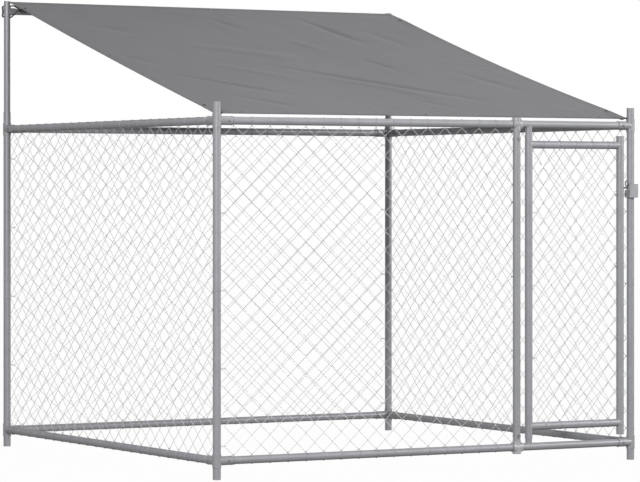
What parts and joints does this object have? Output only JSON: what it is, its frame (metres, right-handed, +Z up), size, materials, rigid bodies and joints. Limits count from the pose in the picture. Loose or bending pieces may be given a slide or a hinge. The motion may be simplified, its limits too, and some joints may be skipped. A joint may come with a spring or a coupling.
{
  "type": "outdoor dog kennel run",
  "caption": "Square outdoor dog run of round tube and chain-link panels, with a swinging gate, a sliding bolt and a sloping tarpaulin roof held on taller rear tubes.",
  "frame": {"origin": "ground level under the middle of the footprint of the corner posts", "axes": "+X to the right along the front, seen from outside; +Y from the front to the back; +Z up"},
  "size_m": [2.0603, 2.0522, 2],
  "materials": {
    "galvanised_tube": "satin zinc-coated round tube, faintly mottled, with soft long highlights",
    "galvanised_fitting": "zinc-coated pressed and welded fittings, a little duller than the tubes",
    "mesh_wire": "galvanised round wire",
    "tie_wire": "galvanised soft wire, bent by hand",
    "dark_fastener": "dull dark zinc, slightly worn at the edges",
    "tarpaulin": "grey woven polyethylene tarpaulin with a heat-welded hem",
    "eyelet": "dark snap-in eyelets",
    "elastic_cord": "black sheathed elastic cord"
  },
  "bodies": {
    "run_frame": {"post_front_left": "galvanised_tube", "post_front_right": "galvanised_tube", "post_back_left": "galvanised_tube", "post_back_right": "galvanised_tube", "roof_tube_left": "galvanised_tube", "roof_tube_right": "galvanised_tube", "gate_post": "galvanised_tube", "rail_front_top": "galvanised_tube", "rail_front_bottom": "galvanised_tube", "rail_back_top": "galvanised_tube", "rail_back_bottom": "galvanised_tube", "rail_left_top": "galvanised_tube", "rail_left_bottom": "galvanised_tube", "rail_right_top": "galvanised_tube", "rail_right_bottom": "galvanised_tube", "ridge_bar": "galvanised_tube", "corner_fitting_front_left_top": "galvanised_fitting", "corner_fitting_front_left_bottom": "galvanised_fitting", "corner_fitting_front_right_top": "galvanised_fitting", "corner_fitting_front_right_bottom": "galvanised_fitting", "corner_fitting_back_left_top": "galvanised_fitting", "corner_fitting_back_left_bottom": "galvanised_fitting", "corner_fitting_back_right_top": "galvanised_fitting", "corner_fitting_back_right_bottom": "galvanised_fitting", "ridge_connector_left": "galvanised_fitting", "ridge_connector_right": "galvanised_fitting", "gate_tee_top": "galvanised_fitting", "gate_tee_bottom": "galvanised_fitting", "gate_tee_bolts": "dark_fastener", "fitting_screws": "dark_fastener", "roof_frame_screws": "dark_fastener", "hinge_pin_top": "galvanised_fitting", "hinge_pin_bottom": "galvanised_fitting", "front_net": "mesh_wire", "left_net": "mesh_wire", "right_net": "mesh_wire", "back_net": "mesh_wire", "front_net_ties": "tie_wire", "left_net_ties": "tie_wire", "right_net_ties": "tie_wire", "back_net_ties": "tie_wire", "latch_bracket": "galvanised_fitting", "latch_bracket_bolt": "dark_fastener", "roof_tarp": "tarpaulin", "roof_eyelets": "eyelet", "roof_tie_front_left": "elastic_cord", "roof_tie_front_right": "elastic_cord", "roof_tie_back_left": "elastic_cord", "roof_tie_back_right": "elastic_cord"},
    "gate": {"gate_hinge_stile": "galvanised_tube", "gate_latch_stile": "galvanised_tube", "gate_rail_top": "galvanised_tube", "gate_rail_bottom": "galvanised_tube", "gate_net": "mesh_wire", "gate_net_ties": "tie_wire"},
    "latch": {"latch_bolt": "dark_fastener", "latch_ring": "dark_fastener"}
  },
  "joints": [
    {"name": "gate_swing", "type": "hinge", "parent": "run_frame", "child": "gate", "pos_m": [0.48, -1, 0.745], "axis": [0, 0, 1], "range_deg": [-120, 120]},
    {"name": "latch_slide", "type": "slide", "parent": "run_frame", "child": "latch", "axis": [-1, 0, 0], "range_m": [0, 0.015]}
  ]
}
